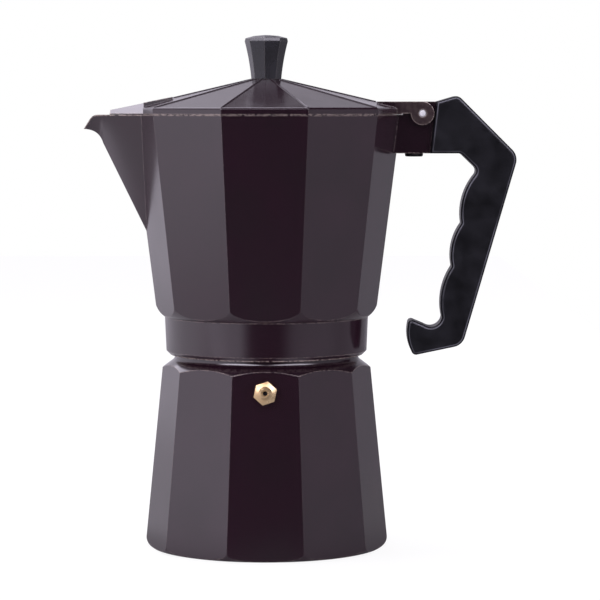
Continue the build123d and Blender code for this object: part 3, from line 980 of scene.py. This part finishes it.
class Lid(SubAssembly):
    """Hinged lid with scuffed ears, its ridge beads and its knob."""

    def __init__(self) -> None:
        """Name the lid's pieces."""
        slots = {
            "lid": Slot.BODY,
            "knob": Slot.PLASTIC,
            "knob_insert": Slot.BRASS,
            "knob_screw": Slot.SCREW,
            "knob_washer": Slot.SCREW,
        }
        # The ears turn on the pin: a slightly paler, dull film
        scuffed_ears = Rub(
            axis=Axis.X,
            start_mm=60.0,
            full_mm=68.0,
            amount=0.08,
            patches=Pattern(2.2, 6.0),
            patch_range=Ramp(0.42, 0.6, low=0.6),
        )
        lacquer = LacqueredAluminium("lacquered_cast_lid", rub=scuffed_ears)
        super().__init__(Body.LID, slots, {"lid": lacquer})
        self.beads = RidgeBeads()
        # Lacquer without wear: the beads show as thin even lines
        self.bead_lacquer = LacqueredAluminium("lacquered_ridge_beads", wear=0.0)

    def build(self, frame: Frame, finishes: Finishes) -> None:
        """Dress the lid and lay its beads."""
        self.dress(frame, finishes)
        self.add_piece(self.beads.build(), Slot.BODY, self.bead_lacquer.material())


@dataclass(frozen=True)
class Panel:
    """A soft light panel in reflections: its way, the cosines of its rim and heart, and its strength."""

    way: Place
    rim: float
    heart: float
    strength: float


@dataclass(frozen=True)
class SoftBox:
    """A soft lamp: its name, its centre, the width and height of its face, and its power in watts."""

    name: str
    place: Place
    size: tuple[float, float]
    watts: float


@dataclass
class Studio:
    """White sweep, soft lamps, and the tones that reflections show of floor and room, sizes in metres.

    Two of the floor's ramps run along X and paint it brighter on the left and darker to the right, one runs
    outwards from the pot's axis and paints a shadow round the foot, and one paints a pool of light round a
    place on the left: painted light and shade that only reflections show. The room's ramps run along X, Y
    and Z of the way that a reflection looks.
    """

    floor_left: float = -1.3
    floor_right: float = 0.3
    floor_front: float = -0.3
    floor_back: float = 2.6
    floor_white: str = "f4f4f4"
    clean_share: float = 0.8
    clean_strength: float = 1.08
    # Painted light and shade, seen only in reflections: the floor brighter on the left and darker to the
    # right
    floor_beside: Ramp = Ramp(-0.05, 0.12, 0.5, 0.1)
    floor_far_left: Ramp = Ramp(-0.8, -0.35, 1.9, 1.0)
    # Painted shadow round the pot's foot, seen only in reflections
    floor_painted_foot_shadow: Ramp = Ramp(0.06, 0.16, 0.5, 1.0)
    # Painted pool of light round a place on the floor to the left, seen only in reflections
    floor_painted_light_pool: Ramp = Ramp(0.04, 0.13, 2.4, 1.0)
    painted_light_pool_place: Place = (-0.46, -0.02, 0.0)
    room_across: Ramp = Ramp(-0.2, 0.5, 0.84, 0.3)
    room_far_left: Ramp = Ramp(-0.98, -0.6, 1.25, 1.0)
    room_front: Ramp = Ramp(-0.96, -0.84, 0.03, 1.0)
    room_height: Ramp = Ramp(0.38, 0.46, 1.0, 0.08)
    panels: tuple[Panel, ...] = (
        Panel((-0.35, 0.5, 0.79), 0.84, 0.875, 2.5),
        Panel((0.85, -0.52, 0.05), 0.8, 0.98, 0.12),
        Panel((-0.474, -0.629, 0.615), 0.875, 0.955, 7.0),
        Panel((0.474, -0.629, 0.615), 0.875, 0.955, 6.0),
        Panel((-0.91, -0.41, 0.05), 0.85, 0.97, 0.1),
    )
    tint: str = "f2ecfb"
    daylight: float = 0.75
    aim: Place = (0.0, 0.0, 0.12)
    lamps: tuple[SoftBox, ...] = (
        SoftBox("overhead_softbox", (-0.15, 0.3, 1.3), (1.4, 0.9), 9.0),
        SoftBox("left_softbox", (-1.5, -0.35, 0.6), (0.9, 1.3), 7.0),
        SoftBox("right_softbox", (1.5, -0.2, 0.5), (0.7, 1.1), 2.0),
    )

    def floor_glow(self, nodes: Nodes) -> Socket:
        """Work out how bright reflections show the floor, with painted light and shade: brighter to the left
        and round a place on the left, darker to the right and round the pot's foot.

        Args:
            nodes: The floor's material.

        Returns:
            The socket with the strength at each place.
        """
        place = nodes.add("ShaderNodeTexCoord").outputs["Object"]
        across = nodes.add("ShaderNodeSeparateXYZ", {0: place}).outputs[Axis.X.value]
        from_pot = nodes.add("ShaderNodeVectorMath", {0: place}, operation="LENGTH")
        from_light_pool = nodes.add("ShaderNodeVectorMath", {0: place, 1: self.painted_light_pool_place}, operation="DISTANCE")
        return nodes.product(
            nodes.ramp(across, self.floor_beside, Easing.SMOOTH),
            nodes.ramp(across, self.floor_far_left, Easing.SMOOTH),
            nodes.ramp(from_pot.outputs["Value"], self.floor_painted_foot_shadow, Easing.SMOOTH),
            nodes.ramp(from_light_pool.outputs["Value"], self.floor_painted_light_pool, Easing.SMOOTH),
        )

    def floor_material(self) -> bpy.types.Material:
        """Build the paper: nearly white to the camera with a soft shadow, and with painted light and shade
        in reflections.

        Returns:
            The new material.
        """
        material = bpy.data.materials.new("pale_paper_sweep")
        material.use_nodes = True
        nodes = Nodes(material.node_tree)
        glossy = nodes.rays(Ray.GLOSSY)
        strength = nodes.mix(glossy, self.clean_strength, self.floor_glow(nodes))
        tone = nodes.blend(glossy, WHITE, linear(self.tint))
        paper = nodes.add("ShaderNodeBsdfDiffuse", {"Color": linear(self.floor_white)}).outputs[0]
        clean = nodes.add("ShaderNodeEmission", {"Color": tone, "Strength": strength}).outputs[0]
        share = nodes.product(nodes.rays(Ray.CAMERA, Ray.GLOSSY, Ray.TRANSMISSION), self.clean_share)
        mixed = nodes.add("ShaderNodeMixShader", {0: share, 1: paper, 2: clean})
        nodes.add("ShaderNodeOutputMaterial", {"Surface": mixed.outputs[0]})
        return material

    def floor(self) -> None:
        """Lay the pale floor."""
        corners = [
            (self.floor_left, self.floor_front, 0),
            (self.floor_right, self.floor_front, 0),
            (self.floor_right, self.floor_back, 0),
            (self.floor_left, self.floor_back, 0),
        ]
        mesh = bpy.data.meshes.new("floor")
        mesh.from_pydata(corners, [], [(0, 1, 2, 3)])
        floor = place_in_scene("floor", mesh)
        put_on(floor, self.floor_material())

    def room_glow(self, nodes: Nodes) -> Socket:
        """Work out how bright reflections show the room: a sweep, dark in front and above, with panels.

        Args:
            nodes: The world's tree.

        Returns:
            The socket with the strength in each direction.
        """
        way = nodes.add("ShaderNodeTexCoord").outputs["Generated"]
        axes = nodes.add("ShaderNodeSeparateXYZ", {0: way}).outputs
        glow = nodes.product(
            nodes.ramp(axes[Axis.X.value], self.room_across, Easing.SMOOTH),
            nodes.ramp(axes[Axis.X.value], self.room_far_left, Easing.SMOOTH),
            nodes.ramp(axes[Axis.Y.value], self.room_front, Easing.SMOOTH),
            nodes.ramp(axes[Axis.Z.value], self.room_height, Easing.SMOOTH),
        )
        for panel in self.panels:
            near = nodes.add("ShaderNodeVectorMath", {0: way, 1: panel.way}, operation="DOT_PRODUCT")
            face = Ramp(panel.rim, panel.heart, high=panel.strength)
            glow = nodes.math("ADD", glow, nodes.ramp(near.outputs["Value"], face, Easing.SMOOTH))
        return glow

    def room(self) -> None:
        """Set the world: white to the camera, even daylight on the pot, and the room in reflections."""
        world = bpy.data.worlds.new("studio_room")
        bpy.context.scene.world = world
        world.use_nodes = True
        nodes = Nodes(world.node_tree)
        tint = linear(self.tint)
        shades = [(tint, self.daylight), (tint, self.room_glow(nodes)), (WHITE, 1.0)]
        light, mirrored, clean = [
            nodes.add("ShaderNodeBackground", {"Color": colour, "Strength": strength}).outputs[0]
            for colour, strength in shades
        ]
        glossy = nodes.rays(Ray.GLOSSY)
        lit = nodes.add("ShaderNodeMixShader", {0: glossy, 1: light, 2: mirrored})
        seen = nodes.rays(Ray.CAMERA, Ray.TRANSMISSION)
        final = nodes.add("ShaderNodeMixShader", {0: seen, 1: lit.outputs[0], 2: clean})
        nodes.add("ShaderNodeOutputWorld", {"Surface": final.outputs[0]})

    def hang(self, box: SoftBox) -> None:
        """Hang one soft lamp, whose own face stays out of the reflections.

        Args:
            box: The lamp's place, size and power.
        """
        data = bpy.data.lights.new(box.name, "AREA")
        data.shape = "RECTANGLE"
        data.size, data.size_y = box.size
        data.energy = box.watts
        lamp = place_in_scene(box.name, data)
        lamp.location = box.place
        lamp.rotation_euler = (Vector(self.aim) - Vector(box.place)).to_track_quat("-Z", "Y").to_euler()
        lamp.visible_glossy = False

    def build(self) -> None:
        """Set up floor, room and lamps."""
        self.floor()
        self.room()
        for box in self.lamps:
            self.hang(box)
        LOG.info("studio: floor, room and %d lamps", len(self.lamps))


@dataclass
class PhotoCamera:
    """Camera that stands where the photograph was taken from, with three marks in the photo's pixels."""

    distance_mm: float = 1350.0
    mm_per_px: float = 0.489
    axis_px: float = 266.5
    ground_px: float = 546.0
    horizon_px: float = 105.0
    sensor_mm: float = 36.0
    clip_start_m: float = 0.05
    clip_end_m: float = 50.0

    def build(self) -> None:
        """Place the camera and make it the scene's."""
        middle_px = PHOTO_SIDE_PX / 2
        focal_px = self.distance_mm / self.mm_per_px
        pitch = math.atan((middle_px - self.horizon_px) / focal_px)
        aim_x = (middle_px - self.axis_px) * self.mm_per_px
        aim_z = (self.ground_px - middle_px) * self.mm_per_px
        away = Vector((0.0, -self.distance_mm * math.cos(pitch), self.distance_mm * math.sin(pitch)))
        data = bpy.data.cameras.new("photo_camera")
        data.sensor_width = self.sensor_mm
        data.lens = focal_px * self.sensor_mm / PHOTO_SIDE_PX
        data.clip_start = self.clip_start_m
        data.clip_end = self.clip_end_m
        camera = place_in_scene("photo_camera", data)
        camera.location = (Vector((aim_x, 0.0, aim_z)) + away) * MM
        camera.rotation_euler = (-away).to_track_quat("-Z", "Y").to_euler()
        bpy.context.scene.camera = camera
        LOG.info("camera: lens %.1f mm, pitch %.2f degrees", data.lens, math.degrees(pitch))


def main() -> None:
    """Build the dressed pot, its studio and its camera."""
    logging.basicConfig(level=logging.INFO, format="%(name)s %(message)s")
    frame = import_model()
    finishes = Finishes()
    for assembly in (Boiler(), Valve(), Funnel(), Seal(), Collector(), Lid()):
        assembly.build(frame, finishes)
    Studio().build()
    PhotoCamera().build()
    bpy.context.scene.view_settings.view_transform = "Standard"


if __name__ == "__main__":
    main()
